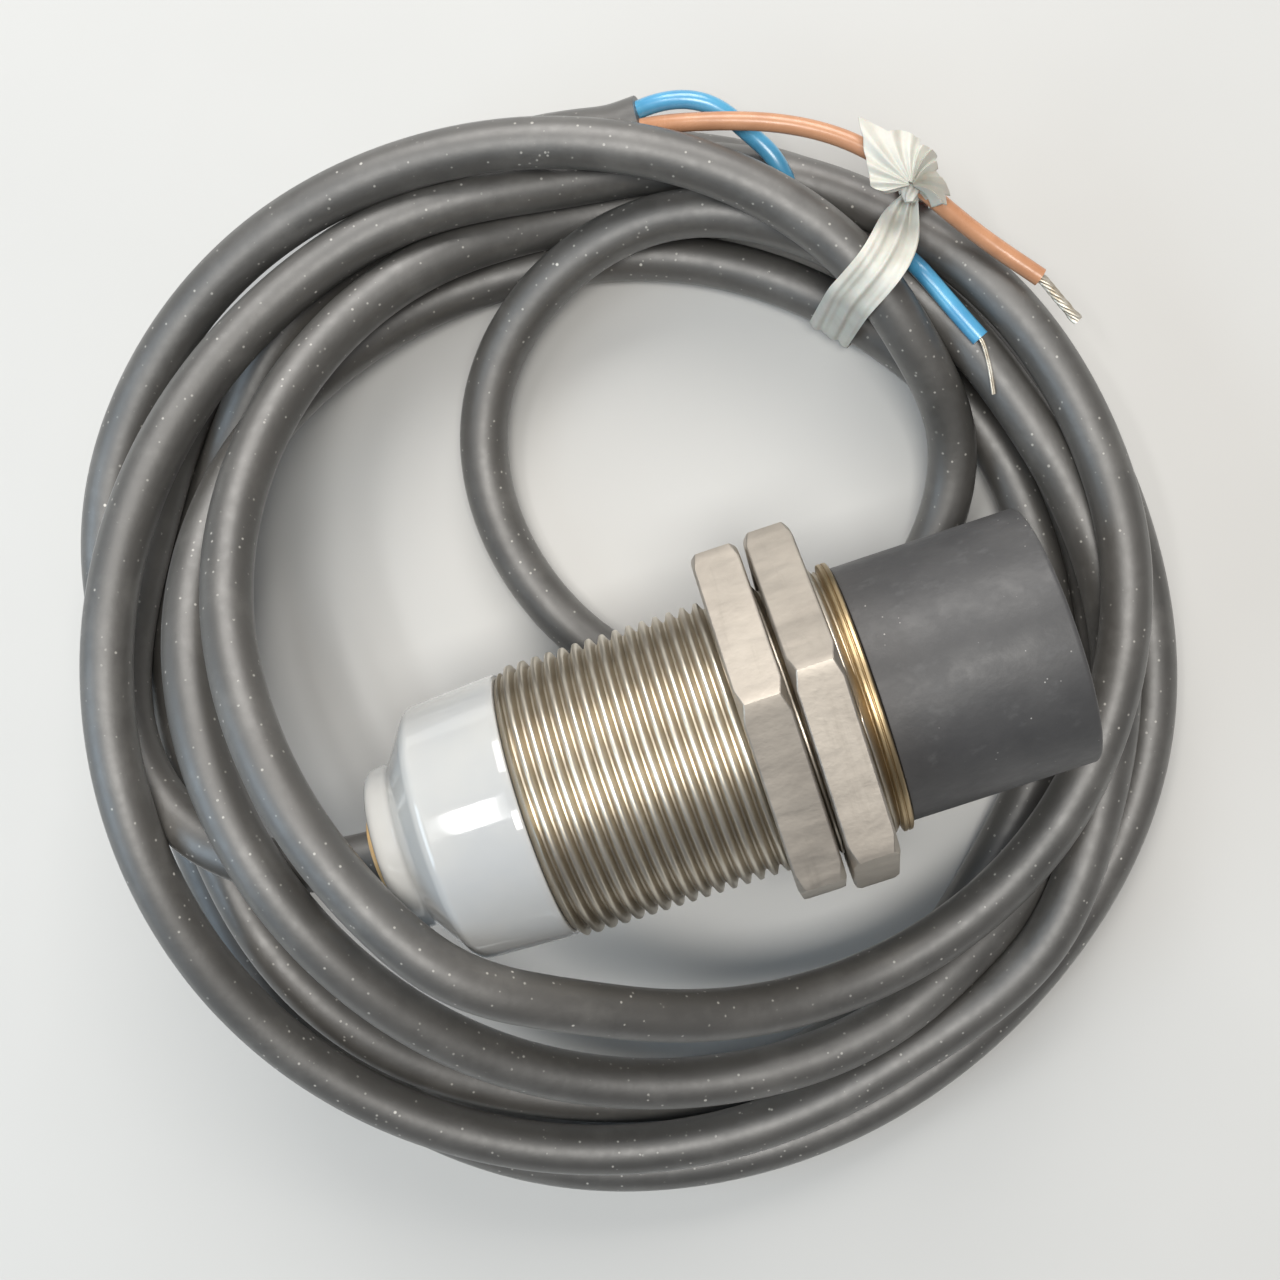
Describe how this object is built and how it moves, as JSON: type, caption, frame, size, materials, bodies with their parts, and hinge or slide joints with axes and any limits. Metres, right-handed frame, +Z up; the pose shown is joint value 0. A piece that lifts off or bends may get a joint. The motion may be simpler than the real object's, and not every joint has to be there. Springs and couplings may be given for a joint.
{
  "type": "cylindrical inductive proximity sensor",
  "caption": "Threaded cylindrical proximity sensor with a plain front cap, thin hexagon nuts, a stepped rear cap and its two-core lead tied in a coil.",
  "frame": {"origin": "centre of the sensing face", "axes": "+X out of the sensing face along the barrel's axis, +Z up from the surface the coil lies on"},
  "size_m": [0.1244, 0.1244, 0.0472],
  "materials": {
    "barrel_nickel": "shiny warm nickel plate",
    "nut_nickel": "satin warm nickel plate",
    "cap_plastic": "matt dark grey moulded plastic",
    "rear_plastic": "glossy translucent white plastic",
    "gland_bush": "amber bush",
    "seal_rubber": "matt black rubber",
    "cable_jacket": "satin dark grey PVC",
    "blue_insulation": "satin blue PVC",
    "brown_insulation": "satin brown PVC",
    "tinned_copper": "tinned copper strands",
    "tie_film": "white ribbed film",
    "ferrite": "matt dark ferrite",
    "bobbin_plastic": "cream plastic",
    "copper": "enamelled copper wire",
    "circuit_board": "green board",
    "chip_plastic": "black moulded component",
    "varistor_coat": "blue coated disc",
    "resin": "dark potting resin",
    "led_lens": "red tinted lens"
  },
  "bodies": {
    "sensor_body": {"barrel": "barrel_nickel", "sensing_cap": "cap_plastic", "rear_cap": "rear_plastic", "cable_gland": "gland_bush", "cap_o_ring": "seal_rubber", "rear_seal_ring": "seal_rubber", "cable_clamp": "nut_nickel", "ferrite_core": "ferrite", "coil_bobbin": "bobbin_plastic", "coil_winding": "copper", "coil_pin_a": "tinned_copper", "coil_pin_b": "tinned_copper", "circuit_board": "circuit_board", "oscillator_chip": "chip_plastic", "output_thyristor": "chip_plastic", "bridge_rectifier": "chip_plastic", "smoothing_capacitor": "chip_plastic", "resistor_a": "bobbin_plastic", "resistor_b": "bobbin_plastic", "suppression_varistor": "varistor_coat", "led_indicator": "led_lens", "resin_plug": "resin", "inner_lead_brown": "brown_insulation", "inner_lead_blue": "blue_insulation", "cable_exit": "cable_jacket", "cable_inner_loop": "cable_jacket", "cable_end": "cable_jacket", "brown_core": "brown_insulation", "blue_core": "blue_insulation", "brown_strands": "tinned_copper", "blue_strands": "tinned_copper", "tie_strip": "tie_film", "tie_knot": "tie_film", "cable_coil": "cable_jacket"},
    "front_nut": {"front_nut": "nut_nickel"},
    "rear_nut": {"rear_nut": "nut_nickel"}
  },
  "joints": [
    {"name": "rear_nut_travel", "type": "slide", "parent": "sensor_body", "child": "rear_nut", "axis": [1, 0, 0], "range_m": [-0.0225, 0.0003]},
    {"name": "front_nut_travel", "type": "slide", "parent": "sensor_body", "child": "front_nut", "axis": [1, 0, 0], "range_m": [-0.0002, 0.0024]}
  ]
}
